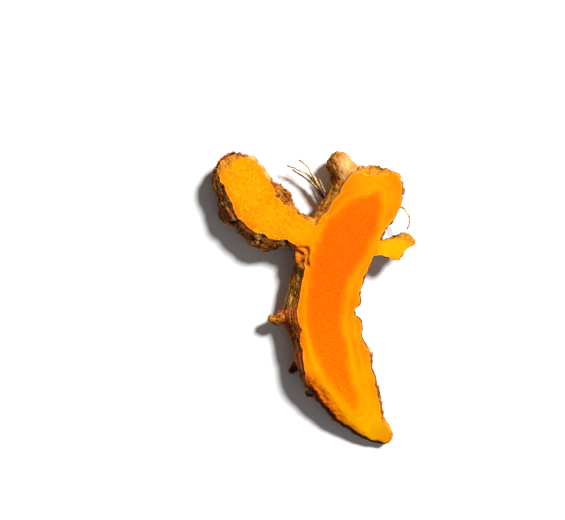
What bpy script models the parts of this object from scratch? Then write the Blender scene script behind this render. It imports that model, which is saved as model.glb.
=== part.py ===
"""Half of a branched turmeric rhizome, split lengthwise, lying on its ringed back with the cut face up.

The whole half is one grown piece: a crescent body, a side finger, a cut spur, an uncut knob, small
buds and a few dry rootlets. Units are metres, +Z is up and +Y runs along the body to its crown.
"""

import math

import bmesh
import bpy
import numpy as np
from mathutils import Matrix, Vector

MM = 0.001

# Height of the flat cut face above the surface that the half lies on.
CUT_HEIGHT = 10.2
# Past this y the lower end droops, and its cut face with it, by this much at the tip.
DROOP_START = -20.0
DROOP_END = -41.5
DROOP_DEPTH = 6.4
DROOP_POWER = 1.7
# The three low spots of the back are worn flat by this much, so that the half lies still.
FLAT_DEPTH = 0.35

# Limbs that the knife split. Each row is a station along the limb, in millimetres: x, y, half the
# width of the cut face, how far the back swells out past it on the left and on the right of the
# way the rows run, and the depth below the cut face.
BODY = (
    (21.9, -41.7, 0.9, 0.3, 0.2, 2.6),
    (21.1, -41.0, 1.9, 0.5, 0.2, 3.1),
    (19.8, -39.6, 2.9, 0.8, 0.2, 3.8),
    (16.6, -36.6, 4.3, 1.1, 0.2, 5.4),
    (13.1, -31.4, 6.6, 1.4, 0.3, 7.6),
    (9.6, -25.5, 8.1, 1.6, 0.3, 9.6),
    (6.5, -19.3, 9.4, 1.7, 0.3, 10.2),
    (5.4, -13.3, 8.9, 2.4, 0.4, 9.7),
    (4.3, -8.0, 8.8, 3.4, 0.4, 9.5),
    (3.0, -5.2, 7.6, 4.0, 0.3, 9.5),
    (4.2, -2.4, 8.4, 3.7, 0.3, 9.5),
    (5.2, 2.8, 8.4, 3.4, 0.3, 9.6),
    (6.9, 9.1, 8.5, 2.8, 0.3, 9.8),
    (9.2, 16.2, 8.7, 2.6, 0.3, 10.1),
    (12.9, 22.5, 8.1, 2.8, 0.4, 10.5),
    (16.3, 27.8, 8.4, 2.8, 0.3, 10.5),
    (18.3, 32.4, 6.8, 2.5, 0.4, 10.0),
    (18.9, 35.9, 5.4, 2.3, 0.9, 8.6),
)
FINGER = (
    (4.5, 13.6, 4.2, 1.5, 1.5, 7.0),
    (-3.2, 17.4, 3.8, 1.6, 0.8, 7.4),
    (-7.4, 19.4, 4.3, 2.5, 1.5, 8.2),
    (-9.6, 20.4, 4.9, 4.0, 2.6, 8.9),
    (-11.8, 21.6, 5.6, 4.3, 3.0, 9.6),
    (-14.8, 24.2, 6.2, 2.8, 2.8, 10.3),
    (-17.1, 27.4, 6.2, 4.6, 1.5, 10.7),
    (-18.9, 31.0, 5.9, 3.4, 0.9, 10.4),
    (-20.6, 34.0, 5.8, 3.0, 0.8, 9.6),
    (-21.4, 36.6, 5.2, 2.5, 0.6, 8.6),
    (-22.8, 40.2, 4.2, 2.6, 0.8, 7.6),
)
SPUR = (
    (11.0, 12.4, 2.6, 0.3, 0.3, 5.0),
    (17.0, 13.1, 1.9, 0.3, 0.3, 4.4),
    (20.5, 13.2, 2.2, 0.3, 0.3, 4.6),
    (23.4, 13.7, 2.6, 0.3, 0.3, 4.8),
    (25.8, 14.8, 2.2, 0.4, 0.3, 4.2),
    (28.6, 14.9, 1.3, 0.4, 0.2, 2.8),
)
SPUR_LOW_TINE = (
    (23.6, 14.0, 1.6, 0.2, 0.2, 3.6),
    (22.9, 11.6, 1.5, 0.2, 0.2, 3.2),
    (22.4, 9.5, 0.9, 0.2, 0.2, 2.2),
)
SPUR_HIGH_TINE = (
    (24.2, 13.8, 1.6, 0.3, 0.3, 3.6),
    (25.4, 16.0, 1.4, 0.3, 0.3, 3.0),
    (25.9, 17.9, 1.0, 0.3, 0.3, 2.0),
)

# Limbs that the knife missed, which stay round. Each row is x, y, the height above the surface and
# the radius.
KNOB = (
    (13.6, 24.0, 5.0, 4.2),
    (11.0, 29.8, 5.2, 4.5),
    (9.0, 33.6, 5.5, 4.2),
    (7.3, 37.0, 5.8, 3.6),
    (6.6, 40.7, 5.9, 2.9),
)
LEFT_BUD = (
    (-1.0, -4.6, 4.8, 3.2),
    (-5.6, -5.6, 5.0, 2.7),
    (-9.2, -6.6, 5.4, 1.9),
    (-12.8, -7.4, 5.8, 1.0),
)
CORNER_BUD = (
    (3.0, 8.6, 5.0, 3.4),
    (-1.4, 9.6, 6.2, 2.8),
    (-4.4, 10.6, 6.6, 2.3),
    (-5.9, 11.2, 6.7, 1.7),
)
ROOT_STUB = (
    (-2.0, -17.6, 3.8, 1.4),
    (-4.9, -20.2, 3.4, 1.1),
    (-6.4, -22.8, 3.0, 0.8),
)
LOWER_STUB = (
    (1.5, -26.2, 4.6, 1.6),
    (-0.8, -28.0, 4.2, 1.2),
    (-2.2, -28.8, 3.9, 0.9),
)
CROWN_WART = (
    (22.0, 29.0, 7.0, 1.9),
    (24.2, 29.2, 7.3, 1.5),
    (25.8, 29.4, 7.5, 1.0),
)
UNDER_BUD = (
    (8.4, 4.4, 3.4, 2.4),
    (11.6, 3.2, 2.8, 1.8),
    (13.2, 2.4, 2.5, 1.2),
)

# Dry rootlets. Each is a row of points x, y, z, its root first and sunk in the skin, then its
# radius at the root and at the tip.
ROOTLETS = (
    (
        (
            (5.6, 25.0, 4.6),
            (3.1, 27.7, 4.5),
            (1.7, 30.2, 4.6),
            (-0.6, 33.0, 4.8),
            (-3.4, 35.0, 4.8),
            (-7.6, 36.7, 4.4),
        ),
        0.50,
        0.25,
    ),
    (
        (
            (5.8, 25.6, 5.2),
            (2.9, 28.3, 5.3),
            (1.1, 31.6, 5.6),
            (-0.6, 34.4, 5.9),
            (-2.2, 36.7, 6.1),
            (-4.2, 38.2, 6.2),
        ),
        0.45,
        0.25,
    ),
    (
        (
            (5.4, 24.8, 3.8),
            (2.6, 27.8, 3.5),
            (1.1, 30.0, 3.4),
            (-1.1, 32.2, 3.4),
            (-3.9, 34.2, 3.6),
            (-6.2, 35.6, 3.8),
        ),
        0.45,
        0.25,
    ),
    (
        ((6.2, 26.0, 4.4), (3.6, 28.8, 4.0), (2.4, 31.2, 3.8), (1.4, 33.2, 3.8)),
        0.40,
        0.25,
    ),
    (
        ((22.0, 23.8, 7.0), (24.4, 24.8, 7.0), (26.0, 23.8, 7.2), (27.2, 20.8, 7.0), (26.3, 18.4, 6.6)),
        0.40,
        0.25,
    ),
)

# How long each limb takes to round off at its far end.
BODY_END = 4.0
FINGER_END = 4.5
SPUR_END = 1.8
TINE_END = 1.0
KNOB_END = 3.2
BUD_END = 1.3
STUB_END = 0.7

# Leaf scars ring the skin. The skin swells between two rings and dips at each, and each ring
# wanders as it goes round. Of a split limb's rings only this share is left at the cut.
RING_AT_CUT = 0.35
RING_PITCH = 5.6
RING_RELIEF = 0.9
RING_TILT = 0.9
RING_TURN = 0.23
RING_FLOOR = 0.75
KNOB_RING_PITCH = 3.4
BUD_RING_PITCH = 2.4
BUD_RELIEF = 0.35

# Fineness of the solid.
STATION_STEP = 0.4
SIDES = 40
SKIN_VOXEL = 0.5
SMOOTH_STEPS = 3
LUMP_SIZE = 5.0
LUMP_RELIEF = 0.7
KEPT_SHARE = 0.16
ROOTLET_STEP = 1.2
SMALLEST_SHARE = 0.06
ROOTLET_WELD = 0.01
BLOCK_SIDE = 120.0
BLOCK_HEIGHT = 20.0
KNIFE_STEP = 1.5
SHARP_ANGLE = 50.0

SKIN_COLOUR = (0.30, 0.16, 0.06)
FLESH_COLOUR = (1.0, 0.38, 0.01)


def clear_scene():
    for obj in list(bpy.data.objects):
        bpy.data.objects.remove(obj)


def make_material(name, colour, roughness):
    material = bpy.data.materials.new(name)
    material.use_nodes = True
    shader = material.node_tree.nodes["Principled BSDF"]
    shader.inputs["Base Color"].default_value = (*colour, 1.0)
    shader.inputs["Roughness"].default_value = roughness
    shader.inputs["Metallic"].default_value = 0.0
    return material


def make_collection(name):
    collection = bpy.data.collections.new(name)
    bpy.context.scene.collection.children.link(collection)
    return collection


def smooth_rows(rows, step):
    """The rows of a station table, resampled about every step along a Catmull-Rom curve."""
    table = np.array(rows, float)
    ends = np.vstack([2 * table[0] - table[1], table, 2 * table[-1] - table[-2]])
    made = []
    for i in range(1, len(ends) - 2):
        before, start, end, after = ends[i - 1 : i + 3]
        pieces = max(2, round(float(np.linalg.norm((end - start)[:2])) / step))
        for t in np.arange(pieces) / pieces:
            made.append(
                0.5
                * (
                    2 * start
                    + (end - before) * t
                    + (2 * before - 5 * start + 4 * end - after) * t**2
                    + (3 * start - before - 3 * end + after) * t**3
                )
            )
    made.append(table[-1])
    return np.array(made)


def travel(points):
    """Distance along a row of points, and the unit direction at each."""
    steps = np.linalg.norm(np.diff(points, axis=0), axis=1)
    ways = np.gradient(points, axis=0)
    return np.concatenate([[0.0], np.cumsum(steps)]), ways / np.linalg.norm(ways, axis=1)[:, None]


def rounding(along, length):
    """Share of full size at each station: 1, falling in a quarter circle over the last length."""
    left = np.clip((along[-1] - along) / length, 0.0, 1.0)
    return np.sqrt(np.maximum(1.0 - (1.0 - left) ** 2, SMALLEST_SHARE**2))


def cut_height(y):
    """Height of the cut face: level, then falling towards the lower tip."""
    share = max((DROOP_START - y) / (DROOP_START - DROOP_END), 0.0)
    return CUT_HEIGHT - DROOP_DEPTH * share**DROOP_POWER


def half_section(half_width, left, right, depth):
    """The leaning ellipse that the knife leaves this much of.

    A chord of the ellipse is the cut face. Returned are the ellipse's centre, across and above the
    chord's middle, its half width and half height, and its lean.
    """
    reach = half_width + (left + right) / 2
    skew = left - right
    spread = half_width**2 - reach**2 - skew**2 / 4
    root = math.sqrt(max(spread**2 - reach**2 * skew**2, 0.0))
    sine = math.sqrt(max((root - spread) / (2 * reach**2), 1e-6))
    height = depth / (1 + sine)
    lean = -skew / (2 * sine)
    width = math.sqrt(max(reach**2 - lean**2, 1e-9))
    return -lean * sine, -sine * height, width, height, lean


def ring_relief(along, angle, pitch, height):
    """How far the skin stands out at a place on a limb: a swell between two leaf scars."""
    turn = (along + RING_TILT * math.sin(angle + RING_TURN * along)) / pitch
    return height * (math.sqrt(abs(math.sin(math.pi * turn))) - RING_FLOOR)


def loft(name, rings, collection):
    """A closed tube through rings of equal length, with a flat cap at each end."""
    shape = bmesh.new()
    rows = [[shape.verts.new(Vector(point) * MM) for point in ring] for ring in rings]
    for lower, upper in zip(rows, rows[1:]):
        for i in range(len(lower)):
            j = (i + 1) % len(lower)
            shape.faces.new((lower[i], lower[j], upper[j], upper[i]))
    shape.faces.new(rows[0])
    shape.faces.new(rows[-1])
    bmesh.ops.recalc_face_normals(shape, faces=shape.faces)
    mesh = bpy.data.meshes.new(name)
    shape.to_mesh(mesh)
    shape.free()
    obj = bpy.data.objects.new(name, mesh)
    collection.objects.link(obj)
    return obj


def ringed(centre, across, up, size, lean, along, pitch, relief, top_share=1.0):
    """One ring of a limb: an ellipse in the plane of across and up, with the leaf scars' relief."""
    points = []
    for i in range(SIDES):
        angle = 2 * math.pi * i / SIDES
        sideways = size[0] * math.cos(angle) + lean * math.sin(angle)
        spoke = across * sideways + up * (size[1] * math.sin(angle))
        height = relief * (top_share + (1 - top_share) * max(-math.sin(angle), 0.0))
        stretch = 1 + ring_relief(along, angle, pitch, height) / max(spoke.length, relief)
        points.append(centre + spoke * stretch)
    return points


def split_limb(name, table, end_length, collection, pitch=RING_PITCH, relief=RING_RELIEF):
    """A limb that reaches up through the cut plane, which the knife will trim."""
    rows = smooth_rows(table, STATION_STEP)
    along, ways = travel(rows[:, :2])
    shares = rounding(along, end_length)
    rings = []
    for (x, y, *shape), (way_x, way_y), distance, share in zip(rows, ways, along, shares):
        offset, drop, width, height, lean = half_section(*shape)
        across = Vector((-way_y, way_x, 0.0))
        centre = Vector((x, y, cut_height(y) + drop)) + across * offset
        up = Vector((0.0, 0.0, 1.0))
        size = (width * share, height * share)
        height = relief * share
        rings.append(ringed(centre, across, up, size, lean * share, distance, pitch, height, RING_AT_CUT))
    return loft(name, rings, collection)


def round_limb(name, table, end_length, collection, pitch=BUD_RING_PITCH, relief=BUD_RELIEF):
    """A limb below the cut plane, round all the way."""
    rows = smooth_rows(table, STATION_STEP)
    along, ways = travel(rows[:, :3])
    shares = rounding(along, end_length)
    rings = []
    for (x, y, z, radius), way, distance, share in zip(rows, ways, along, shares):
        way = Vector(way)
        across = Vector((0.0, 0.0, 1.0)).cross(way).normalized()
        size = radius * share
        up = way.cross(across)
        centre = Vector((x, y, z))
        rings.append(ringed(centre, across, up, (size, size), 0.0, distance, pitch, relief * share))
    return loft(name, rings, collection)


def rootlet(name, points, radius, tip_radius, collection):
    """A thin round root along a smooth curve, as a closed mesh that a Boolean can join."""
    path = smooth_rows(points, ROOTLET_STEP)
    curve = bpy.data.curves.new(name, "CURVE")
    curve.dimensions = "3D"
    curve.bevel_depth = radius * MM
    curve.bevel_resolution = 1
    curve.use_fill_caps = True
    spline = curve.splines.new("POLY")
    spline.points.add(len(path) - 1)
    for i, (point, place) in enumerate(zip(spline.points, path)):
        point.co = (*(Vector(place) * MM), 1.0)
        point.radius = 1 + (tip_radius / radius - 1) * i / (len(path) - 1)
    guide = bpy.data.objects.new(name, curve)
    collection.objects.link(guide)
    graph = bpy.context.evaluated_depsgraph_get()
    mesh = bpy.data.meshes.new_from_object(guide.evaluated_get(graph))
    bpy.data.objects.remove(guide)
    shape = bmesh.new()
    shape.from_mesh(mesh)
    bmesh.ops.remove_doubles(shape, verts=shape.verts, dist=ROOTLET_WELD * MM)
    bmesh.ops.recalc_face_normals(shape, faces=shape.faces)
    shape.to_mesh(mesh)
    shape.free()
    obj = bpy.data.objects.new(name, mesh)
    collection.objects.link(obj)
    return obj


def block(name, stations, material, collection):
    """A block wide enough to trim the whole object, from its low and high edge at each y."""
    half = BLOCK_SIDE / 2
    rings = []
    for y, low, high in stations:
        rings.append(((-half, y, low), (half, y, low), (half, y, high), (-half, y, high)))
    obj = loft(name, rings, collection)
    obj.data.materials.append(material)
    return obj


def make_knife(material, collection):
    """A block whose underside leaves the cut face."""
    half = BLOCK_SIDE / 2
    places = [half, *np.arange(DROOP_START, DROOP_END - KNIFE_STEP, -KNIFE_STEP), -half]
    top = CUT_HEIGHT + BLOCK_HEIGHT
    return block("knife", [(y, cut_height(y), top) for y in places], material, collection)


def make_floor(material, collection):
    """A block up to the height to which the low spots of the back are worn."""
    half = BLOCK_SIDE / 2
    return block("floor", [(y, -BLOCK_HEIGHT, FLAT_DEPTH) for y in (half, -half)], material, collection)


def grow_limbs(collection):
    """Every limb of the whole rhizome, before it is fused and cut."""
    split_limb("body", BODY, BODY_END, collection)
    split_limb("finger", FINGER, FINGER_END, collection)
    split_limb("spur", SPUR, SPUR_END, collection, BUD_RING_PITCH, BUD_RELIEF)
    for name, tine in (("spur_low_tine", SPUR_LOW_TINE), ("spur_high_tine", SPUR_HIGH_TINE)):
        split_limb(name, tine, TINE_END, collection, BUD_RING_PITCH, BUD_RELIEF)
    round_limb("knob", KNOB, KNOB_END, collection, KNOB_RING_PITCH)
    for name, bud in (("left_bud", LEFT_BUD), ("corner_bud", CORNER_BUD), ("under_bud", UNDER_BUD)):
        round_limb(name, bud, BUD_END, collection)
    for name, stub in (("root_stub", ROOT_STUB), ("lower_stub", LOWER_STUB), ("crown_wart", CROWN_WART)):
        round_limb(name, stub, STUB_END, collection)


def fuse(limbs, skin, collection):
    """One object from all the limbs, blended where they meet and lumpy as a root is."""
    shape = bmesh.new()
    for limb in limbs:
        shape.from_mesh(limb.data)
    mesh = bpy.data.meshes.new("rhizome")
    shape.to_mesh(mesh)
    shape.free()
    mesh.materials.append(skin)
    obj = bpy.data.objects.new("rhizome", mesh)
    collection.objects.link(obj)

    remesh = obj.modifiers.new("fuse", "REMESH")
    remesh.mode = "VOXEL"
    remesh.voxel_size = SKIN_VOXEL * MM

    smooth = obj.modifiers.new("blend", "SMOOTH")
    smooth.factor = 0.5
    smooth.iterations = SMOOTH_STEPS

    lumps = bpy.data.textures.new("lumps", "CLOUDS")
    lumps.noise_scale = LUMP_SIZE * MM
    lumps.noise_depth = 1
    displace = obj.modifiers.new("lumps", "DISPLACE")
    displace.texture = lumps
    displace.texture_coords = "LOCAL"
    displace.strength = LUMP_RELIEF * MM
    displace.mid_level = 0.5

    decimate = obj.modifiers.new("thin_out", "DECIMATE")
    decimate.ratio = KEPT_SHARE
    return obj


def trim(obj, name, cutter):
    modifier = obj.modifiers.new(name, "BOOLEAN")
    modifier.operation = "DIFFERENCE"
    modifier.object = cutter


def apply_modifiers(obj):
    graph = bpy.context.evaluated_depsgraph_get()
    mesh = bpy.data.meshes.new_from_object(obj.evaluated_get(graph))
    obj.modifiers.clear()
    obj.data = mesh


def stand_on_origin(obj):
    """Moves the mesh so that the origin is under the middle of its box, on the surface."""
    places = np.array([vertex.co for vertex in obj.data.vertices])
    low, high = places.min(axis=0), places.max(axis=0)
    middle = (low + high) / 2
    obj.data.transform(Matrix.Translation((-middle[0], -middle[1], -low[2])))


def build():
    clear_scene()
    skin = make_material("turmeric_skin", SKIN_COLOUR, 0.8)
    flesh = make_material("turmeric_flesh", FLESH_COLOUR, 0.55)
    part = make_collection("turmeric_root")
    limbs = make_collection("limbs")
    roots = make_collection("rootlets")
    cutters = make_collection("cutters")

    grow_limbs(limbs)
    rhizome = fuse(limbs.objects, skin, part)
    trim(rhizome, "cut_face", make_knife(flesh, cutters))
    trim(rhizome, "rest_flats", make_floor(skin, cutters))
    apply_modifiers(rhizome)

    for i, (points, radius, tip_radius) in enumerate(ROOTLETS):
        rootlet(f"rootlet_{i}", points, radius, tip_radius, roots)
    join = rhizome.modifiers.new("rootlets", "BOOLEAN")
    join.operation = "UNION"
    join.operand_type = "COLLECTION"
    join.collection = roots
    apply_modifiers(rhizome)

    for collection in (limbs, roots, cutters):
        for obj in list(collection.objects):
            bpy.data.objects.remove(obj)
        bpy.data.collections.remove(collection)
    stand_on_origin(rhizome)
    rhizome.data.shade_smooth()
    rhizome.data.set_sharp_from_angle(angle=math.radians(SHARP_ANGLE))


build()
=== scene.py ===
"""Looks of the turmeric rhizome half: fine skin relief, cut flesh, dry rootlets, floor, light, camera.

Everything is drawn in table millimetres, as in the part's source: x to the right and y up in the
photograph, z up from the table. The last step of each piece moves it to the row frame, in metres.
"""

import math

import bmesh
import bpy
import numpy as np
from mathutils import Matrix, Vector, kdtree, noise


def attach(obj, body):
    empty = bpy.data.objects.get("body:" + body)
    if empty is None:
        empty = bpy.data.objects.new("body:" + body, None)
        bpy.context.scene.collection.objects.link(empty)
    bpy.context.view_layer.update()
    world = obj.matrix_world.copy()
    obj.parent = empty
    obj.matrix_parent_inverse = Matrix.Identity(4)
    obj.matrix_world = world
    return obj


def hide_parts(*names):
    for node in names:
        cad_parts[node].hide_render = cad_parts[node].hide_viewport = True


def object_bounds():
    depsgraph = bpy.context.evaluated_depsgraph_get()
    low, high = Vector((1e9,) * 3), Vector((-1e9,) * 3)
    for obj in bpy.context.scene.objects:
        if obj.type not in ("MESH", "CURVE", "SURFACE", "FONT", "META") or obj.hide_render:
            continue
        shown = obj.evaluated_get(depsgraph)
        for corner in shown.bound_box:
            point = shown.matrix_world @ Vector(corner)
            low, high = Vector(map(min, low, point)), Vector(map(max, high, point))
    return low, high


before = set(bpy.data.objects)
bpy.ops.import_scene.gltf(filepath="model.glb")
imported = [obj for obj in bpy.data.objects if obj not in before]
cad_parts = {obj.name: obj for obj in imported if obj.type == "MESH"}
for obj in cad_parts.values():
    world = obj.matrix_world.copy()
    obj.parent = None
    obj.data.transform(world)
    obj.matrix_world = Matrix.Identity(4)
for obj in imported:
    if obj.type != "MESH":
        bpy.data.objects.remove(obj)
cad_low, cad_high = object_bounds()

MM = 0.001
# Height of the level cut, and where and how far it falls towards the lower tip.
CUT_HEIGHT = 10.2
DROOP_START = -20.0
DROOP_END = -41.5
DROOP_DEPTH = 6.4
DROOP_POWER = 1.7
# How much the part's source cuts off below for the half to rest on.
FLAT_DEPTH = 0.35
# The middle of the whole half in table millimetres, which the part's source puts on the origin.
MIDDLE = (-0.253, -1.043)

# Limbs that the knife split: x, y, half the width of the cut face, the swell of the back past it on
# the left and on the right of the way the rows run, and the depth below the cut face.
BODY = (
    (21.9, -41.7, 0.9, 0.3, 0.2, 2.6), (21.1, -41.0, 1.9, 0.5, 0.2, 3.1),
    (19.8, -39.6, 2.9, 0.8, 0.2, 3.8), (16.6, -36.6, 4.3, 1.1, 0.2, 5.4),
    (13.1, -31.4, 6.6, 1.4, 0.3, 7.6), (9.6, -25.5, 8.1, 1.6, 0.3, 9.6),
    (6.5, -19.3, 9.4, 1.7, 0.3, 10.2), (5.4, -13.3, 8.9, 2.4, 0.4, 9.7),
    (4.3, -8.0, 8.8, 3.4, 0.4, 9.5), (3.0, -5.2, 7.6, 4.0, 0.3, 9.5),
    (4.2, -2.4, 8.4, 3.7, 0.3, 9.5), (5.2, 2.8, 8.4, 3.4, 0.3, 9.6),
    (6.9, 9.1, 8.5, 2.8, 0.3, 9.8), (9.2, 16.2, 8.7, 2.6, 0.3, 10.1),
    (12.9, 22.5, 8.1, 2.8, 0.4, 10.5), (16.3, 27.8, 8.4, 2.8, 0.3, 10.5),
    (18.3, 32.4, 6.8, 2.5, 0.4, 10.0), (18.9, 35.9, 5.4, 2.3, 0.9, 8.6),
)
FINGER = (
    (4.5, 13.6, 4.2, 1.5, 1.5, 7.0), (-3.2, 17.4, 3.8, 1.6, 0.8, 7.4),
    (-7.4, 19.4, 4.3, 2.5, 1.5, 8.2), (-9.6, 20.4, 4.9, 4.0, 2.6, 8.9),
    (-11.8, 21.6, 5.6, 4.3, 3.0, 9.6), (-14.8, 24.2, 6.2, 2.8, 2.8, 10.3),
    (-17.1, 27.4, 6.2, 4.6, 1.5, 10.7), (-18.9, 31.0, 5.9, 3.4, 0.9, 10.4),
    (-20.6, 34.0, 5.8, 3.0, 0.8, 9.6), (-21.4, 36.6, 5.2, 2.5, 0.6, 8.6),
    (-22.8, 40.2, 4.2, 2.6, 0.8, 7.6),
)
SPUR = (
    (11.0, 12.4, 2.6, 0.3, 0.3, 5.0), (17.0, 13.1, 1.9, 0.3, 0.3, 4.4),
    (20.5, 13.2, 2.2, 0.3, 0.3, 4.6), (23.4, 13.7, 2.6, 0.3, 0.3, 4.8),
    (25.8, 14.8, 2.2, 0.4, 0.3, 4.2), (28.6, 14.9, 1.3, 0.4, 0.2, 2.8),
)
SPUR_LOW_TINE = (
    (23.6, 14.0, 1.6, 0.2, 0.2, 3.6), (22.9, 11.6, 1.5, 0.2, 0.2, 3.2), (22.4, 9.5, 0.9, 0.2, 0.2, 2.2),
)
SPUR_HIGH_TINE = (
    (24.2, 13.8, 1.6, 0.3, 0.3, 3.6), (25.4, 16.0, 1.4, 0.3, 0.3, 3.0), (25.9, 17.9, 1.0, 0.3, 0.3, 2.0),
)

# Limbs that the knife missed: x, y, the height above the surface and the radius.
KNOB = (
    (13.6, 24.0, 5.0, 4.2), (11.0, 29.8, 5.2, 4.5), (9.0, 33.6, 5.5, 4.2),
    (7.3, 37.0, 5.8, 3.6), (6.6, 40.7, 5.9, 2.9),
)
LEFT_BUD = (
    (-1.0, -4.6, 4.8, 3.2), (-5.6, -5.6, 5.0, 2.7), (-9.2, -6.6, 5.4, 1.9), (-12.8, -7.4, 5.8, 1.0),
)
CORNER_BUD = (
    (3.0, 8.6, 5.0, 3.4), (-1.4, 9.6, 6.2, 2.8), (-4.4, 10.6, 6.6, 2.3), (-5.9, 11.2, 6.7, 1.7),
)
ROOT_STUB = ((-2.0, -17.6, 3.8, 1.4), (-4.9, -20.2, 3.4, 1.1), (-6.4, -22.8, 3.0, 0.8))
LOWER_STUB = ((1.5, -26.2, 4.6, 1.6), (-0.8, -28.0, 4.2, 1.2), (-2.2, -28.8, 3.9, 0.9))
CROWN_WART = ((22.0, 29.0, 7.0, 1.9), (24.2, 29.2, 7.3, 1.5), (25.8, 29.4, 7.5, 1.0))
UNDER_BUD = ((8.4, 4.4, 3.4, 2.4), (11.6, 3.2, 2.8, 1.8), (13.2, 2.4, 2.5, 1.2))

# Dry rootlets: points x, y, z, root first, the radius at the root and at the tip, and the least share
# of the length that the colour counts from, which keeps a root end pale, free of the painted shade.
ROOTLETS = (
    (((5.6, 25.0, 4.6), (3.1, 27.7, 4.5), (1.7, 30.2, 4.6),
      (-0.6, 33.0, 4.8), (-3.4, 35.0, 4.8), (-7.6, 36.7, 4.4)), 0.50, 0.20, 0.0),
    (((5.8, 25.6, 5.2), (2.9, 28.3, 5.3), (1.1, 31.6, 5.6),
      (-0.6, 34.4, 5.9), (-2.2, 36.7, 6.1), (-4.2, 38.2, 6.2)), 0.42, 0.20, 0.0),
    (((5.4, 24.8, 3.8), (2.6, 27.8, 3.5), (1.1, 30.0, 3.4),
      (-1.1, 32.2, 3.4), (-3.9, 34.2, 3.6), (-6.2, 35.6, 3.8)), 0.42, 0.18, 0.0),
    (((6.2, 26.0, 4.4), (3.6, 28.8, 4.0), (2.4, 31.2, 3.8), (1.4, 33.2, 3.8)), 0.36, 0.16, 0.0),
    (((22.0, 23.8, 7.0), (24.4, 24.8, 7.0), (26.0, 23.8, 7.2),
      (27.2, 20.8, 7.0), (26.3, 18.4, 6.6)), 0.34, 0.20, 0.6),
)
# Their sides, station distance, kinks, changes of thickness along and round them, the stations that
# the kinks grow over, and the share of its thickness that the very tip keeps.
ROOTLET_SIDES = 10
ROOTLET_STEP = 0.35
ROOTLET_WOBBLE = 0.16
ROOTLET_SWELL = 0.22
ROOTLET_RIDGE = 0.18
ROOTLET_STEADY = 6.0
ROOTLET_POINT = 0.4

# Length of each limb's rounded end.
BODY_END = 4.0
FINGER_END = 4.5
SPUR_END = 1.8
TINE_END = 1.0
KNOB_END = 3.2
BUD_END = 1.3
STUB_END = 0.7
# Rings of the old leaves: share of relief at the cut, pitch, relief, lean and its turn, lowest part.
RING_AT_CUT = 0.35
RING_PITCH = 5.6
RING_RELIEF = 0.9
RING_TILT = 0.9
RING_TURN = 0.23
RING_FLOOR = 0.75
KNOB_RING_PITCH = 3.4
BUD_RING_PITCH = 2.4
BUD_RELIEF = 0.35

# Fineness of the tubes, the least share of full size at a rounded end, fineness and smoothing of the
# fused skin, and its broad lumps.
STATION_STEP = 0.3
SIDES = 72
SMALLEST_SHARE = 0.06
SKIN_VOXEL = 0.30
SMOOTH_STEPS = 4
LUMP_SIZE = 5.0
LUMP_RELIEF = 0.7
# Points measured against a limb at a time, to save memory.
CHUNK = 8000

# Depths of the skin's fine relief, in millimetres.
SCAR_DEPTH = 0.34
LIP_HEIGHT = 0.34
FIBRE_HEIGHT = 0.30
CREASE_DEPTH = 0.26
GAP_DEPTH = 0.34
LUMP_HEIGHT = 0.42
GRAIN_HEIGHT = 0.15
WART_HEIGHT = 1.1
# Half the width of a leaf scar, and where its lip stands and half its width.
SCAR_WIDTH = 0.42
LIP_PLACE = 0.85
LIP_WIDTH = 0.5
# Under the cut the relief grows from a share to its full depth over this height.
RELIEF_AT_CUT = 0.30
RELIEF_FADE = 1.6

# The knife block: the grid of its underside, its sides, and its thickness above the level cut.
KNIFE_CELL = 0.30
KNIFE_SIDE = (64.0, 90.0)
KNIFE_TOP = 12.0
# How fast the cut face falls past the clean cut and into the lower edge, how much lower it is on the
# broken bud and the spur, and the height of the knife's drag marks.
BEVEL_SLOPE = 0.55
EDGE_SLOPE = 0.28
SUNKEN_DEPTH = 0.9
SPUR_DROP = 1.3
DRAG_HEIGHT = 0.05

# The abraded edge at the lower left: where it starts and how soon it is full, its width, how much of
# that it loses, from where and over what run, and the most that counts.
EDGE_START = -21.5
EDGE_GROWTH = 3.0
EDGE_WIDTH = 2.7
EDGE_TAPER = 2.3
EDGE_TAPER_START = -28.0
EDGE_TAPER_RUN = 12.0
EDGE_MOST = 3.5
# Where the crown's abraded end starts, and the finger's: how far along its way, and left of what x.
CROWN_BEVEL = 33.3
CROWN_LEFT = 12.0
CROWN_MIDDLE = 17.0
FINGER_BEVEL = 42.5
FINGER_BEVEL_WAY = (-0.663, 0.748)
FINGER_BEVEL_RIGHT = -8.0
# The broken bud's face: its right, upper and lower edges, and the run down from them.
SUNKEN_RIGHT = -1.1
SUNKEN_TOP = 13.8
SUNKEN_BOTTOM = 7.9
SUNKEN_RUN = 0.7
# Where the step down to the spur's cut starts, its lean, and the run down.
SPUR_START = 17.5
SPUR_LEAN = 0.8
SPUR_LEAN_START = 14.5
SPUR_RUN = 4.0
# The way along the finger, where on it the coarser flesh starts, the run to its full strength, and
# the x that it ends at.
FINGER_WAY = (-0.62, 0.78)
FINGER_START = 12.0
FINGER_RUN = 6.0
FINGER_FLESH_RIGHT = 4.0

# The orange core of the cut body: x, y and half its width.
CORE = (
    (17.6, 28.2, 0.6), (16.6, 26.0, 2.6), (13.9, 22.8, 4.8), (12.0, 19.6, 5.6), (9.6, 16.2, 6.3),
    (7.2, 12.4, 6.2), (5.6, 8.8, 5.6), (4.4, 5.0, 5.0), (3.9, 1.6, 4.6), (3.2, -3.6, 4.4),
    (3.3, -9.0, 4.0), (4.3, -14.0, 4.0), (5.3, -17.5, 3.8), (6.4, -21.0, 3.3), (7.8, -24.6, 2.7),
    (9.9, -28.0, 2.0), (11.6, -31.4, 1.2),
)

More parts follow.
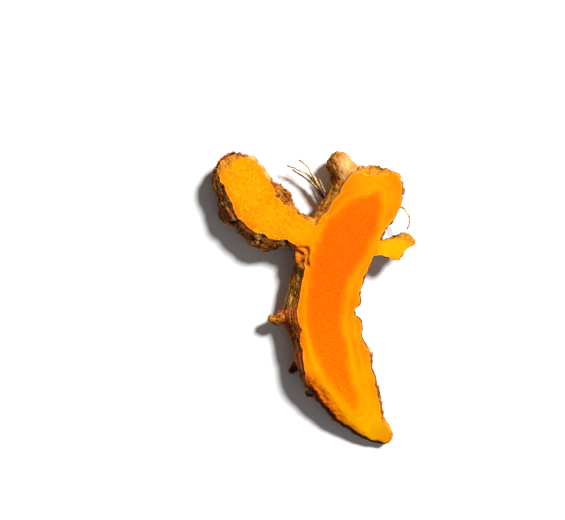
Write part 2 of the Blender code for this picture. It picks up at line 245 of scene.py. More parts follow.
# Smooth stretches of skin, with long fibres and few scars: x, y, radius and strength.
SMOOTH_SPOTS = (
    (-6.4, 4.5, 3.6, 1.0), (-7.4, -0.5, 4.0, 1.0), (-6.0, -6.0, 3.0, 0.8), (-6.0, -12.0, 4.0, 1.0),
    (-4.4, -18.0, 4.0, 1.0), (-2.0, -24.0, 3.0, 0.6),
)
# Dry scales that stand out of the skin: x, y, z, radius and swell.
SCALES = (
    (15.6, -16.8, 8.0, 2.0, 0.5), (15.0, -14.6, 8.6, 0.9, 0.3), (-6.4, 28.2, 7.6, 1.4, 0.8),
    (-9.6, 30.4, 8.4, 1.0, 0.7), (-4.2, 25.4, 7.8, 1.0, 0.6), (27.6, 29.6, 7.6, 0.9, 0.5),
    (12.6, -6.4, 9.0, 0.6, 0.6), (15.0, 36.6, 6.5, 3.6, 0.55),
)
# Places where the outline is drawn in: x, y, radius and depth.
DENTS = (
    (13.0, -4.8, 1.7, 1.2), (14.2, 2.6, 3.2, 0.6), (14.6, -11.6, 2.6, 0.8), (-18.0, 40.6, 3.2, 1.0),
    (21.6, -35.6, 3.0, 0.3), (26.6, 11.8, 1.5, 0.7),
)
# Calm stretches of skin, without deep scars: x, y, radius and strength.
CALM_SPOTS = (
    (2.4, 23.6, 3.4, 0.9), (5.0, 28.0, 3.0, 0.8), (9.5, 35.0, 4.0, 0.9), (21.0, -36.5, 4.0, 1.0),
)

# Patches of the skin and the flesh that differ in colour, two of them partly painted shade: x, y, radius and
# strength.
PATCHES = {
    "gold": (
        (-3.0, 8.2, 0.8, 0.95), (-6.2, 3.6, 2.2, 0.8), (-7.2, -0.8, 2.6, 0.95), (-12.4, -7.4, 1.8, 0.9),
        (0.8, 22.2, 3.2, 0.95), (5.0, 27.2, 3.0, 0.7), (6.2, 29.8, 2.2, 0.95), (5.2, 35.6, 2.0, 0.9),
        (6.4, 39.6, 2.0, 0.9), (15.0, 36.6, 5.0, 0.8), (-16.0, 12.5, 3.0, 0.6), (-3.8, 23.8, 3.0, 0.6),
        (-9.4, 30.2, 2.2, 0.5),
    ),
    "brick": (
        (-6.9, -5.0, 2.3, 1.0), (-8.6, -5.6, 1.4, 0.5), (-3.8, -18.8, 2.2, 0.7), (-4.4, 24.6, 1.8, 0.4),
    ),
    "red": (
        (-5.6, -10.6, 3.4, 0.7), (-4.4, -17.4, 3.4, 0.95), (-10.8, 31.0, 1.1, 0.6), (-24.5, 38.0, 3.0, 0.6),
        (3.0, -30.0, 4.0, 0.6), (6.9, 39.0, 1.0, 0.9), (6.9, 31.6, 1.2, 0.5),
    ),
    "pale": (
        (9.2, 37.0, 2.8, 1.0), (11.8, 34.0, 2.8, 0.7), (-17.2, 38.4, 1.6, 1.0), (-14.8, 36.6, 1.6, 1.0),
        (-12.9, 34.2, 1.6, 1.0), (15.4, -15.4, 1.4, 0.6), (8.6, 33.4, 1.6, 0.8),
    ),
    "peeled": (
        (24.6, 33.0, 2.0, 1.2), (22.6, 35.2, 1.6, 0.9), (25.2, 25.6, 1.6, 0.8), (21.4, -37.4, 2.6, 1.2),
    ),
    "orange": (
        (-3.4, 11.4, 2.6, 1.0), (-4.2, 12.6, 1.6, 1.0), (-12.2, -7.6, 1.8, 0.55), (1.0, 21.0, 2.0, 0.4),
        (6.4, 31.8, 1.8, 0.5), (10.8, 36.2, 1.4, 0.4),
    ),
    "worn": (
        (28.2, 15.8, 2.0, 1.3), (26.2, 17.4, 1.9, 1.3), (24.0, 16.6, 1.2, 0.9), (27.6, 12.6, 1.0, 0.6),
        (22.4, 9.6, 0.9, 0.5), (15.2, -15.0, 1.0, 0.9), (15.9, -17.2, 0.9, 0.9),
    ),
    "lemon": ((16.0, -35.4, 5.5, 0.8), (14.5, -34.0, 5.0, 0.7), (24.0, 13.6, 4.5, 0.5)),
    "deep": (
        (4.5, 22.4, 3.6, 0.7), (8.5, 28.6, 3.2, 0.45), (-2.4, -1.0, 3.6, 0.6), (-2.8, -10.0, 3.6, 0.5),
        (0.0, 6.0, 3.0, 0.4),
    ),
    # ruddy: redder flesh by the cut rim, mostly on the left edges: partly the flesh's own colour, partly
    # painted shade on edges that face away from the key lamp.
    "ruddy": (
        (-2.4, -20.0, 2.2, 0.6), (-0.4, -26.0, 2.4, 0.9), (3.0, -30.2, 2.4, 1.0), (6.4, -33.8, 2.2, 0.9),
        (10.0, -36.2, 2.0, 0.5), (-4.5, 13.6, 2.0, 0.7), (-2.2, 6.0, 1.2, 0.5), (-22.2, 23.4, 2.4, 0.8),
        (-18.4, 19.4, 2.2, 0.8), (-24.8, 28.6, 2.2, 0.6),
    ),
    "yellow": (
        (17.0, -38.0, 8.0, 1.2), (12.0, -31.5, 8.0, 1.2), (8.0, -26.0, 7.0, 1.0), (2.0, -20.0, 4.0, 0.7),
        (14.5, -23.0, 5.0, 1.0), (-18.0, 30.0, 8.0, 0.95), (-12.0, 22.0, 6.0, 0.9), (-20.6, 36.0, 5.0, 0.95),
        (-4.0, 18.0, 5.0, 0.9), (25.0, 14.5, 6.5, 1.5), (16.5, 32.0, 7.0, 0.8), (21.0, 27.0, 5.0, 0.6),
        (12.5, 3.6, 4.0, 0.45), (11.5, -10.0, 4.5, 0.5), (13.0, -18.0, 4.0, 0.4),
    ),
    # dark: darker spots, partly dark skin and partly painted shade in cracks and creases.
    "dark": (
        (3.0, 28.8, 1.1, 0.9), (5.0, 32.4, 1.5, 0.4), (4.2, 35.4, 1.0, 0.6), (5.6, 34.4, 0.8, 0.8),
        (4.5, 37.8, 0.8, 0.7), (5.6, 40.4, 1.2, 0.6), (19.2, 36.2, 1.3, 1.5), (22.8, 16.2, 1.4, 1.2),
        (5.6, 32.6, 1.1, 0.5), (6.8, 39.2, 0.8, 0.45), (-6.3, 11.9, 0.9, 1.0), (-1.2, 8.9, 0.9, 1.4),
        (-3.0, 9.6, 0.6, 0.9), (-5.2, 6.8, 1.6, 0.7), (-5.8, -10.2, 2.2, 0.65), (-4.9, -13.2, 2.6, 0.6),
        (-11.0, -8.8, 1.8, 1.0), (-5.9, -21.8, 2.2, 1.0), (-1.2, -28.6, 1.8, 1.0), (4.0, -33.0, 4.0, 0.9),
        (11.0, -38.0, 4.0, 0.9), (18.0, -41.0, 3.0, 0.9), (-27.0, 22.0, 4.0, 0.3), (-10.0, 14.2, 3.0, 0.3),
        (-11.0, 30.8, 0.9, 0.6), (-8.2, 28.0, 0.6, 0.9), (-7.2, 26.8, 0.5, 0.9),
    ),
}


def smooth_rows(rows, step):
    """The rows of a station table, resampled about every step along a Catmull-Rom curve."""
    table = np.array(rows, float)
    ends = np.vstack([2 * table[0] - table[1], table, 2 * table[-1] - table[-2]])
    made = []
    for i in range(1, len(ends) - 2):
        before, start, end, after = ends[i - 1 : i + 3]
        bend = 2 * before - 5 * start + 4 * end - after
        twist = 3 * start - before - 3 * end + after
        pieces = max(2, round(float(np.linalg.norm((end - start)[:2])) / step))
        for t in np.arange(pieces) / pieces:
            made.append(0.5 * (2 * start + (end - before) * t + bend * t**2 + twist * t**3))
    made.append(table[-1])
    return np.array(made)


def travel(points):
    """Distance along a row of points, and the unit direction at each."""
    steps = np.linalg.norm(np.diff(points, axis=0), axis=1)
    ways = np.gradient(points, axis=0)
    return np.concatenate([[0.0], np.cumsum(steps)]), ways / np.linalg.norm(ways, axis=1)[:, None]


def crossways(way):
    """The level direction across a way, and the one at right angles to both."""
    across = np.cross((0.0, 0.0, 1.0), way)
    across /= np.linalg.norm(across)
    return across, np.cross(way, across)


def rounding(along, length):
    """Share of full size at each station: 1, falling in a quarter circle over the last length."""
    left = np.clip((along[-1] - along) / length, 0.0, 1.0)
    return np.sqrt(np.maximum(1.0 - (1.0 - left) ** 2, SMALLEST_SHARE**2))


def cut_height(y):
    """Height of the clean cut: level, then falling towards the lower tip."""
    share = np.maximum((DROOP_START - y) / (DROOP_START - DROOP_END), 0.0)
    return CUT_HEIGHT - DROOP_DEPTH * share**DROOP_POWER


def half_section(half_width, left, right, depth):
    """The leaning ellipse that the knife leaves this much of: its centre, half sizes and lean."""
    reach = half_width + (left + right) / 2
    skew = left - right
    spread = half_width**2 - reach**2 - skew**2 / 4
    root = math.sqrt(max(spread**2 - reach**2 * skew**2, 0.0))
    sine = math.sqrt(max((root - spread) / (2 * reach**2), 1e-6))
    height = depth / (1 + sine)
    lean = -skew / (2 * sine)
    width = math.sqrt(max(reach**2 - lean**2, 1e-9))
    return -lean * sine, -sine * height, width, height, lean


class Limb:
    """A tube with a centre line, from which places on the skin are measured."""

    def __init__(self, pitch, relief, top_share=1.0):
        self.pitch = pitch
        self.relief = relief
        self.top_share = top_share
        # Each station: centre, the ways across and up, half sizes and lean.
        self.stations = []

    def close(self, along, ways, shares):
        """Takes what belongs to the whole row, and makes an array of each part of the stations."""
        self.along, self.ways, self.shares = along, ways, shares
        columns = [np.array(column, float) for column in zip(*self.stations)]
        self.centres, self.acrosses, self.ups, self.sizes, self.leans = columns
        return self

    def turns(self, along, angle):
        """How many rings lie before a place on the skin."""
        return (along + RING_TILT * np.sin(angle + RING_TURN * along)) / self.pitch

    def rings(self):
        """A ring of points round each station, with the leaf rings raised on it."""
        angles = 2 * math.pi * np.arange(SIDES) / SIDES
        made = []
        for i, share in enumerate(self.shares):
            width, height = self.sizes[i] * share
            sideways = width * np.cos(angles) + self.leans[i] * share * np.sin(angles)
            spokes = sideways[:, None] * self.acrosses[i] + (height * np.sin(angles))[:, None] * self.ups[i]
            relief = self.relief * share
            wave = np.sqrt(np.abs(np.sin(math.pi * self.turns(self.along[i], angles))))
            swell = relief * (wave - RING_FLOOR)
            swell *= self.top_share + (1 - self.top_share) * np.maximum(-np.sin(angles), 0.0)
            length = np.maximum(np.linalg.norm(spokes, axis=1), relief)
            made.append(self.centres[i] + spokes * (1 + swell / length)[:, None])
        return made


def split_limb(table, end_length, pitch=RING_PITCH, relief=RING_RELIEF):
    """A limb that the knife split, from rows of x, y, half width, both swells and depth."""
    rows = smooth_rows(table, STATION_STEP)
    along, ways = travel(rows[:, :2])
    limb = Limb(pitch, relief, RING_AT_CUT)
    for (x, y, *shape), (way_x, way_y) in zip(rows, ways):
        offset, drop, width, height, lean = half_section(*shape)
        across = np.array((-way_y, way_x, 0.0))
        centre = np.array((x, y, cut_height(y) + drop)) + across * offset
        limb.stations.append((centre, across, (0.0, 0.0, 1.0), (width, height), lean))
    return limb.close(along, np.column_stack([ways, np.zeros(len(ways))]), rounding(along, end_length))


def round_limb(table, end_length, pitch=BUD_RING_PITCH, relief=BUD_RELIEF):
    """A limb that the knife missed, from rows of x, y, z and radius."""
    rows = smooth_rows(table, STATION_STEP)
    along, ways = travel(rows[:, :3])
    limb = Limb(pitch, relief)
    for (x, y, z, radius), way in zip(rows, ways):
        limb.stations.append(((x, y, z), *crossways(way), (radius, radius), 0.0))
    return limb.close(along, ways, rounding(along, end_length))


# Places in the list of limbs. Leaf scars are deep up to the finger, and the knob has fewer wrinkles.
FINGER_NUMBER = 1
KNOB_NUMBER = 5
# How far apart the limbs lie in the noise, so that each has fibres of its own.
LIMB_SHIFT = 37.0


def grow_limbs():
    return [
        split_limb(BODY, BODY_END),
        split_limb(FINGER, FINGER_END),
        split_limb(SPUR, SPUR_END, BUD_RING_PITCH, BUD_RELIEF),
        split_limb(SPUR_LOW_TINE, TINE_END, BUD_RING_PITCH, BUD_RELIEF),
        split_limb(SPUR_HIGH_TINE, TINE_END, BUD_RING_PITCH, BUD_RELIEF),
        round_limb(KNOB, KNOB_END, KNOB_RING_PITCH),
        round_limb(LEFT_BUD, BUD_END),
        round_limb(CORNER_BUD, BUD_END),
        round_limb(UNDER_BUD, BUD_END),
        round_limb(ROOT_STUB, STUB_END),
        round_limb(LOWER_STUB, STUB_END),
        round_limb(CROWN_WART, STUB_END),
    ]


def new_object(name, points, faces):
    """A mesh object in the scene."""
    mesh = bpy.data.meshes.new(name)
    mesh.from_pydata([tuple(p) for p in points], [], faces)
    mesh.update()
    obj = bpy.data.objects.new(name, mesh)
    bpy.context.scene.collection.objects.link(obj)
    return obj


def tube_faces(rows, sides, first=0):
    """Faces of a closed tube of rows of points, with a flat cap at each end."""
    faces = []
    for i in range(rows - 1):
        for j in range(sides):
            k = (j + 1) % sides
            a, b = first + i * sides, first + (i + 1) * sides
            faces.append((a + j, a + k, b + k, b + j))
    faces.append(tuple(first + j for j in reversed(range(sides))))
    faces.append(tuple(first + (rows - 1) * sides + j for j in range(sides)))
    return faces


def apply_modifiers(obj):
    """Puts the modified mesh in the place of the object's own."""
    graph = bpy.context.evaluated_depsgraph_get()
    mesh = bpy.data.meshes.new_from_object(obj.evaluated_get(graph))
    obj.modifiers.clear()
    obj.data = mesh


def fuse(limbs):
    """All the limbs as one skin, in metres, blended where they meet."""
    points, faces = [], []
    for limb in limbs:
        rings = limb.rings()
        faces += tube_faces(len(rings), SIDES, len(points))
        for ring in rings:
            points.extend(ring * MM)
    obj = new_object("rhizome_half", points, faces)
    remesh = obj.modifiers.new("fuse", "REMESH")
    remesh.mode = "VOXEL"
    remesh.voxel_size = SKIN_VOXEL * MM
    smooth = obj.modifiers.new("blend", "SMOOTH")
    smooth.factor = 0.5
    smooth.iterations = SMOOTH_STEPS
    lumps = bpy.data.textures.new("lumps", "CLOUDS")
    lumps.noise_scale = LUMP_SIZE * MM
    lumps.noise_depth = 1
    displace = obj.modifiers.new("lumps", "DISPLACE")
    displace.texture = lumps
    displace.texture_coords = "LOCAL"
    displace.strength = LUMP_RELIEF * MM
    displace.mid_level = 0.5
    apply_modifiers(obj)
    return obj


def values_of(elements, key, width=1, kind=np.int32):
    """What each element holds under a key: a number, or a row of them."""
    values = np.empty(len(elements) * width, kind)
    elements.foreach_get(key, values)
    return values if width == 1 else values.reshape(-1, width)


def points_of(mesh):
    """The vertices in table millimetres."""
    return values_of(mesh.vertices, "co", 3, np.float32).astype(float) / MM


def set_points(mesh, points):
    mesh.vertices.foreach_set("co", points.astype(np.float32).ravel())
    mesh.update()


def set_values(mesh, name, values):
    """Stores a number or a vector at each vertex, for the materials to read by name."""
    kind, field_name = ("FLOAT", "value") if values.ndim == 1 else ("FLOAT_VECTOR", "vector")
    attribute = mesh.attributes.get(name) or mesh.attributes.new(name, kind, "POINT")
    attribute.data.foreach_set(field_name, values.astype(np.float32).ravel())


def field(points, scale, octaves=3, shift=0.0):
    """Smooth noise, about -1 to 1, at each point."""
    scaled = points * np.asarray(scale) + shift
    return np.array([noise.fractal(Vector(p), 1.0, 2.0, octaves) for p in scaled])


def measure(points, limbs):
    """For each point: its nearest limb, its place beside the centre line, and its ring turn."""
    best = np.full(len(points), np.inf)
    place = np.zeros((len(points), 3))
    turn = np.zeros(len(points))
    owner = np.zeros(len(points), int)
    for number, limb in enumerate(limbs):
        for first in range(0, len(points), CHUNK):
            part = slice(first, first + CHUNK)
            some = points[part]
            apart = ((some[:, None, :] - limb.centres[None]) ** 2).sum(axis=2)
            near = apart.argmin(axis=1)
            offset = some - limb.centres[near]
            forward = (offset * limb.ways[near]).sum(axis=1)
            u = (offset * limb.acrosses[near]).sum(axis=1)
            v = (offset * limb.ups[near]).sum(axis=1)
            width, height = limb.sizes[near].T
            lean = limb.leans[near] * v / height
            score = np.sqrt(((u - lean) / width) ** 2 + (v / height) ** 2 + (forward / width) ** 2)
            better = score < best[part]
            index = np.flatnonzero(better) + first
            best[index] = score[better]
            owner[index] = number
            along = limb.along[near] + forward
            angle = np.arctan2(v / height, (u - lean) / width)
            place[index] = np.column_stack([u, v, along])[better]
            turn[index] = limb.turns(along, angle)[better]
    return owner, place, turn


def carve_skin(obj, limbs):
    """Leaf scars, fibres, warts and pits, moved along the normals. Keeps masks for the colours, among them
    painted shade in the skin's dips and painted highlights on the fibre ridges.

    In the calls of field the numbers are frequencies a millimetre, octaves, and a shift that keeps
    two fields apart.
    """
    mesh = obj.data
    points = points_of(mesh)
    normals = values_of(mesh.vertex_normals, "vector", 3, np.float32).astype(float)
    owner, place, turn = measure(points, limbs)
    pitch = np.array([limb.pitch for limb in limbs])[owner]
    shifted = place + owner[:, None] * LIMB_SHIFT

    smooth = soft_spots(points, SMOOTH_SPOTS)
    ragged = field(points, 0.9, 2, 11.0)
    gap = (turn - np.round(turn)) * pitch + 0.45 * ragged
    calm = soft_spots(points, CALM_SPOTS)
    quiet = np.maximum(smooth, calm)
    kept = np.clip(0.65 + 0.9 * field(points, 0.16, 2, 5.0), 0.15, 1.0) * (1.0 - 0.85 * quiet)
    big = np.where(owner <= FINGER_NUMBER, 1.0, 0.4)
    wrinkled = np.where(owner == KNOB_NUMBER, 0.6, 1.0) * (1.0 - 0.5 * calm)
    scar = np.exp(-((gap / SCAR_WIDTH) ** 2)) * kept * big
    lip = np.exp(-(((gap - LIP_PLACE) / LIP_WIDTH) ** 2)) * kept * big

    fibre = field(shifted, (0.95, 0.95, 0.20), 4, 3.0)
    strands = field(shifted, (1.15, 1.15, 0.07), 3, 57.0)
    creases = 1.0 - np.minimum(np.abs(fibre) * 4.0, 1.0)
    gaps = 1.0 - np.minimum(np.abs(strands) * 4.0, 1.0)
    lumps = field(points, 0.42, 3, 23.0) * (1.0 - 0.7 * quiet)
    grain = field(points, 1.5, 2, 41.0)
    warts = np.clip(field(points, 0.55, 1, 71.0) - 0.32, 0.0, 1.0) * (1.0 - quiet)

    height = (
        -SCAR_DEPTH * scar
        + LIP_HEIGHT * lip * (0.7 + 0.6 * ragged)
        + FIBRE_HEIGHT * fibre * wrinkled * (1.0 - 0.6 * smooth)
        - CREASE_DEPTH * creases * wrinkled * (1.0 - 0.6 * smooth)
        - GAP_DEPTH * gaps * smooth
        + LUMP_HEIGHT * lumps
        + GRAIN_HEIGHT * grain
        + WART_HEIGHT * warts
    )
    below = np.clip((cut_height(points[:, 1]) - 0.2 - points[:, 2]) / RELIEF_FADE, 0.0, 1.0)
    height *= RELIEF_AT_CUT + (1.0 - RELIEF_AT_CUT) * below
    for x, y, z, radius, swell in SCALES:
        apart = ((points - (x, y, z)) ** 2).sum(axis=1) / radius**2
        height += swell * np.exp(-apart) * (1.0 + 0.8 * grain)
    for x, y, radius, depth in DENTS:
        height -= depth * np.exp(-((points[:, 0] - x) ** 2 + (points[:, 1] - y) ** 2) / radius**2)
    # The mask below darkens the skin's colour where the relief dips: painted shade in the scars, creases and
    # grooves.
    dips = 0.9 * scar + 0.75 * creases * np.clip(0.6 + lumps, 0.0, 1.0) * (1.0 - 0.6 * smooth)
    hollow_shade = np.clip(dips + 0.7 * gaps * smooth - 0.9 * lumps - 0.5 * grain, 0.0, 1.5)
    set_values(mesh, "lip", np.clip(lip + warts, 0.0, 1.0))
    set_values(mesh, "hollow_shade", hollow_shade * (1.0 - 0.6 * calm))
    # The ridge mask is for painted highlights on the raised fibres of the smooth skin.
    set_values(mesh, "ridge", np.clip(3.0 * strands - 0.3, 0.0, 1.0) * smooth)
    set_values(mesh, "fibre_place", shifted)
    set_points(mesh, (points + normals * height[:, None]) * MM)


def edge_gap(x, y):
    """Millimetres in from the left edge of the body's cut face."""
    rows = smooth_rows(BODY, 0.5)
    _, ways = travel(rows[:, :2])
    gap = np.full(x.shape, np.inf)
    best = np.full(x.shape, np.inf)
    for (row_x, row_y, half_width, *_), (way_x, way_y) in zip(rows, ways):
        apart = (x - row_x) ** 2 + (y - row_y) ** 2
        offset = (x - row_x) * -way_y + (y - row_y) * way_x
        gap = np.where(apart < best, half_width - offset, gap)
        best = np.minimum(apart, best)
    return gap


def lower_edge(x, y):
    """Millimetres into the abraded edge at the lower left: 0 away from it."""
    ragged = 0.25 * np.sin(0.83 * x - 0.41 * y) + 0.15 * np.sin(1.9 * x + 0.37 * y + 1.0)
    tapered = np.clip((EDGE_TAPER_START - y) / EDGE_TAPER_RUN, 0.0, 1.0)
    width = EDGE_WIDTH - EDGE_TAPER * tapered
    along = np.clip((EDGE_START - y) / EDGE_GROWTH, 0.0, 1.0)
    depth = np.maximum(width + ragged - edge_gap(x, y), 0.0) * along
    return np.minimum(depth, EDGE_MOST) * (y < EDGE_START)


def bevel(x, y):
    """How far past the clean cut a place is, in millimetres: the crown's end and the finger's."""
    crown = y - CROWN_BEVEL - 0.08 * np.abs(x - CROWN_MIDDLE) + 0.25 * np.sin(2.2 * x)
    crown = np.minimum(crown, 1.2 * (x - CROWN_LEFT))
    along = FINGER_BEVEL_WAY[0] * x + FINGER_BEVEL_WAY[1] * y
    tip = along - FINGER_BEVEL + 0.3 * np.sin(1.9 * x + 0.8 * y)
    tip = np.where(x < FINGER_BEVEL_RIGHT, tip, 0.0)
    return np.maximum(np.maximum(crown, tip), 0.0)


def sunken(x, y):
    """1 on the broken bud in the corner under the finger, which sits lower than the cut."""
    beside = SUNKEN_RIGHT + 0.15 * np.sin(1.7 * y) - x
    over = SUNKEN_TOP + 0.15 * np.sin(1.6 * x) - y
    under = y - SUNKEN_BOTTOM - 0.4 * np.sin(1.1 * x)
    inside = np.clip(np.minimum(np.minimum(beside, over), under) / SUNKEN_RUN, 0.0, 1.0)
    return inside * inside * (3.0 - 2.0 * inside)


def spur_drop(x, y):
    """1 on the spur, which was cut a little lower than the body."""
    past = x - SPUR_START - SPUR_LEAN * np.maximum(y - SPUR_LEAN_START, 0.0)
    share = np.clip(past / SPUR_RUN, 0.0, 1.0) * (y > 0.0)
    return share * share * (3.0 - 2.0 * share)


def knife_height(x, y):
    """Height of the cut face: a flat cut with faint drag marks, falling away past its clean part."""
    drag = DRAG_HEIGHT * np.sin(0.9 * x + 0.35 * y) * np.sin(0.21 * y + 0.6)
    worn = BEVEL_SLOPE * bevel(x, y) + EDGE_SLOPE * lower_edge(x, y)
    return cut_height(y) + drag - worn - SUNKEN_DEPTH * sunken(x, y) - SPUR_DROP * spur_drop(x, y)


def make_knife():
    """A block over the cut plane, its underside a fine grid that leaves the cut face."""
    lines = [np.linspace(-side / 2, side / 2, round(side / KNIFE_CELL) + 1) for side in KNIFE_SIDE]
    grid_x, grid_y = np.meshgrid(*lines, indexing="ij")
    flat = np.column_stack([grid_x.ravel(), grid_y.ravel(), knife_height(grid_x, grid_y).ravel()])
    across = len(lines[1])
    index = np.arange(len(flat)).reshape(grid_x.shape)
    faces = [(a, a + 1, a + across + 1, a + across) for a in index[:-1, :-1].ravel().tolist()]
    border = np.concatenate([index[:, 0], index[-1, 1:], index[-2::-1, -1], index[0, -2:0:-1]]).tolist()
    top = flat[border]
    top[:, 2] = CUT_HEIGHT + KNIFE_TOP
    count = len(flat)
    for i, a in enumerate(border):
        j = (i + 1) % len(border)
        faces.append((a, border[j], count + j, count + i))
    faces.append(tuple(count + i for i in range(len(border))))
    obj = new_object("knife", np.vstack([flat, top]) * MM, faces)
    shape = bmesh.new()
    shape.from_mesh(obj.data)
    bmesh.ops.recalc_face_normals(shape, faces=shape.faces)
    shape.to_mesh(obj.data)
    shape.free()
    return obj


def cut(obj, skin, flesh):
    """Leaves the cut face in the second material."""
    knife = make_knife()
    for mesh in (obj.data, knife.data):
        mesh.materials.clear()
        mesh.materials.append(skin)
        mesh.materials.append(flesh)
    knife.data.polygons.foreach_set("material_index", np.ones(len(knife.data.polygons), np.int32))
    modifier = obj.modifiers.new("cut", "BOOLEAN")
    modifier.operation = "DIFFERENCE"
    modifier.solver = "MANIFOLD"
    modifier.object = knife
    apply_modifiers(obj)
    bpy.data.objects.remove(knife)


def soft_spots(points, spots):
    """Strength, 0 to 1, of round patches in plan."""
    total = np.zeros(len(points))
    for x, y, radius, strength in spots:
        apart = ((points[:, 0] - x) ** 2 + (points[:, 1] - y) ** 2) / radius**2
        total = np.maximum(total, strength * np.exp(-apart))
    return total


def core_gap(points):
    """Millimetres outside the core's edge, less than 0 inside."""
    rows = smooth_rows(CORE, 0.25)
    apart = ((points[:, None, :2] - rows[None, :, :2]) ** 2).sum(axis=2)
    near = apart.argmin(axis=1)
    return np.sqrt(apart[np.arange(len(points)), near]) - rows[near, 2]


def to_row_frame(points):
    """Points in table millimetres as metres in the row frame, held inside the solid's box."""
    place = points - (MIDDLE[0], MIDDLE[1], FLAT_DEPTH)
    return np.clip(place * MM, np.array(cad_low), np.array(cad_high))


def cut_rim(mesh):
    """Two masks of the vertices: those of the cut face, and those that it shares with the skin."""
    loops = values_of(mesh.loops, "vertex_index")
    starts = values_of(mesh.polygons, "loop_start")
    slots = values_of(mesh.polygons, "material_index")
    of_flesh = np.repeat(slots == 1, np.diff(np.append(starts, len(loops))))
    in_flesh = np.zeros(len(mesh.vertices), bool)
    in_skin = np.zeros(len(mesh.vertices), bool)
    in_flesh[loops[of_flesh]] = True
    in_skin[loops[~of_flesh]] = True
    return in_flesh, in_flesh & in_skin


def sharpen_rim(mesh, on_rim):
    """Smooth shading all over, apart from the edges of the rim."""
    ends = values_of(mesh.edges, "vertices", 2)
    mesh.shade_smooth()
    attribute = mesh.attributes.get("sharp_edge") or mesh.attributes.new("sharp_edge", "BOOLEAN", "EDGE")
    attribute.data.foreach_set("value", on_rim[ends].all(axis=1))


def finish_half(obj):
    """Masks for the colours, the cut face's grain, the move to the row frame and a sharp rim."""
    mesh = obj.data
    points = points_of(mesh)
    in_flesh, on_rim = cut_rim(mesh)
    rim = np.flatnonzero(on_rim)
    tree = kdtree.KDTree(len(rim))
    for i in rim:
        tree.insert(Vector(points[i]), int(i))
    tree.balance()
    rim_gap = np.array([tree.find(Vector(p))[2] for p in points])
    set_values(mesh, "rim_gap", rim_gap)

    set_values(mesh, "core_gap", core_gap(points))
    for name, spots in PATCHES.items():
        set_values(mesh, name, soft_spots(points, spots))
    x, y, _ = points.T
    edge = lower_edge(x, y)
    worn = np.clip(bevel(x, y) / 0.7, 0.0, 1.0)
    sunk = sunken(x, y)
    along = points[:, :2] @ np.array(FINGER_WAY)
    finger = np.clip((along - FINGER_START) / FINGER_RUN, 0.0, 1.0) * (x < FINGER_FLESH_RIGHT)
    set_values(mesh, "lower_edge", edge)
    set_values(mesh, "bevel", worn)
    set_values(mesh, "sunk", sunk)
    # A band along the steep step down to the broken bud, for its painted shadow line.
    set_values(mesh, "sunken_step_shade", 4.0 * sunk * (1.0 - sunk))
    set_values(mesh, "finger", finger)

    inner = in_flesh & ~on_rim
    rough = 0.035 + 0.18 * worn[inner] + 0.35 * sunk[inner] + 0.25 * np.minimum(edge[inner], 1.0)
    points[inner, 2] += rough * field(points[inner], 0.9, 3, 91.0) * np.clip(rim_gap[inner], 0.0, 1.0)
    set_points(mesh, to_row_frame(points))
    sharpen_rim(mesh, on_rim)


def kink(number, station):
    """How far a station of a rootlet strays from its smooth path, about -1 to 1 in x, y and z."""
    along = 0.6 * station * ROOTLET_STEP
    return [noise.fractal(Vector((along, number * 9.0, axis * 5.0)), 1.0, 2.0, 3) for axis in range(3)]


def rootlets(material):
    """Thin dry roots, kinked and tapering, each a closed tube."""
    points, faces, tips = [], [], []
    for number, (row, radius, tip_radius, least) in enumerate(ROOTLETS):
        path = smooth_rows(row, ROOTLET_STEP)
        stations = np.arange(len(path))
        wobble = np.array([kink(number, i) for i in stations])
        path = path + ROOTLET_WOBBLE * wobble * np.minimum(stations / ROOTLET_STEADY, 1.0)[:, None]
        along, ways = travel(path)
        share = along / along[-1]
        first = len(points)
        for i, (centre, way) in enumerate(zip(path, ways)):
            swell = noise.noise(Vector((i * 0.4, number, 0.0)))
            size = (radius + (tip_radius - radius) * share[i]) * (1 + ROOTLET_SWELL * swell)
            if i == len(path) - 1:
                size *= ROOTLET_POINT
            across, up = crossways(way)
            for j in range(ROOTLET_SIDES):
                angle = 2 * math.pi * j / ROOTLET_SIDES
                ridge = 1 + ROOTLET_RIDGE * math.sin(3 * angle + i * 0.5)
                points.append(centre + size * ridge * (across * math.cos(angle) + up * math.sin(angle)))
                tips.append(max(share[i], least))
        faces += tube_faces(len(path), ROOTLET_SIDES, first)
    obj = new_object("dry_rootlets", to_row_frame(np.array(points)), faces)
    set_values(obj.data, "tip", np.array(tips))
    obj.data.shade_smooth()
    obj.data.materials.append(material)
    return obj


def put(node, settings):
    """Gives the inputs of a shader node their values."""
    for key, value in settings.items():
        node.inputs[key].default_value = value


